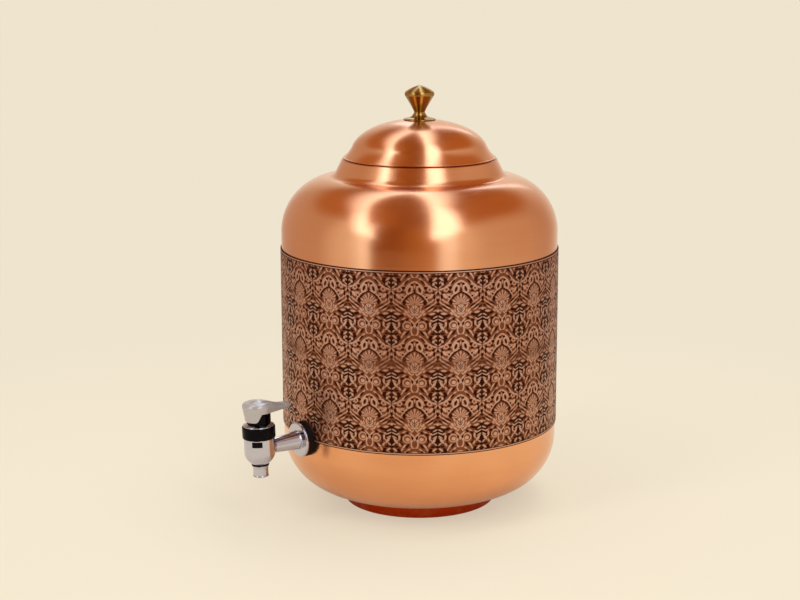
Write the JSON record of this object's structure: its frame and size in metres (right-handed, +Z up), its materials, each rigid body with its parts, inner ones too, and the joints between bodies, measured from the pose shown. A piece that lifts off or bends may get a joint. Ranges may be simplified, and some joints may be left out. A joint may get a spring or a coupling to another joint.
{
  "type": "water dispenser",
  "caption": "Round copper water pot on a foot ring, with an etched sleeve, a domed lift-off lid with a brass knob, and a chrome press-lever tap near the base.",
  "frame": {"origin": "centre of the foot ring's lower face, on the pot's axis", "axes": "+Z up along the pot's axis, the tap points to -Y, +X to the right of a person who faces the tap"},
  "size_m": [0.221, 0.2743, 0.3346],
  "materials": {
    "copper": "satin copper, brushed round the axis",
    "etched_copper": "copper with a dark-filled etched damask",
    "brass": "polished brass",
    "chrome": "polished chrome plate",
    "black_plastic": "gloss black",
    "rubber": "matt black",
    "silicone": "translucent white, shown opaque",
    "steel": "plain stainless steel"
  },
  "bodies": {
    "vessel": {"upper_shell": "copper", "lower_shell": "copper", "etched_band": "etched_copper", "foot_ring": "copper", "tap_body": "chrome", "outer_gasket": "rubber", "inner_gasket": "rubber", "lock_nut": "chrome", "nozzle": "chrome", "nozzle_oring": "rubber", "collar_nut": "black_plastic"},
    "lid": {"lid_dome": "copper", "lid_collar": "copper", "knob": "brass", "knob_rosette": "brass", "knob_washer": "steel", "knob_screw": "steel"},
    "turret": {"turret": "black_plastic", "turret_oring": "rubber", "return_spring": "steel"},
    "stem": {"valve_stem": "steel", "seat_cup": "silicone", "spring_washer": "steel"},
    "lever": {"lever": "chrome", "lever_pin": "steel"}
  },
  "joints": [
    {"name": "lid_lift", "type": "slide", "parent": "vessel", "child": "lid", "axis": [0, 0, 1], "range_m": [0, 0.12]},
    {"name": "head_swivel", "type": "hinge", "parent": "vessel", "child": "turret", "pos_m": [0, -0.15048, 0.0653], "axis": [0, -0.0349, 0.9994], "continuous": true},
    {"name": "stem_lift", "type": "slide", "parent": "turret", "child": "stem", "axis": [0, -0.0349, 0.9994], "range_m": [0, 0.00317], "deforming": ["return_spring"]},
    {"name": "lever_press", "type": "hinge", "parent": "stem", "child": "lever", "pos_m": [0, -0.15157, 0.09678], "axis": [-1, 0, 0], "range_deg": [0, 18], "stiffness_Nm_per_rad": 0.4, "springref_deg": -5.73}
  ],
  "couplings": [
    {"joint": "lever_press", "follows": "stem_lift", "rad_per_m": 99.01}
  ]
}
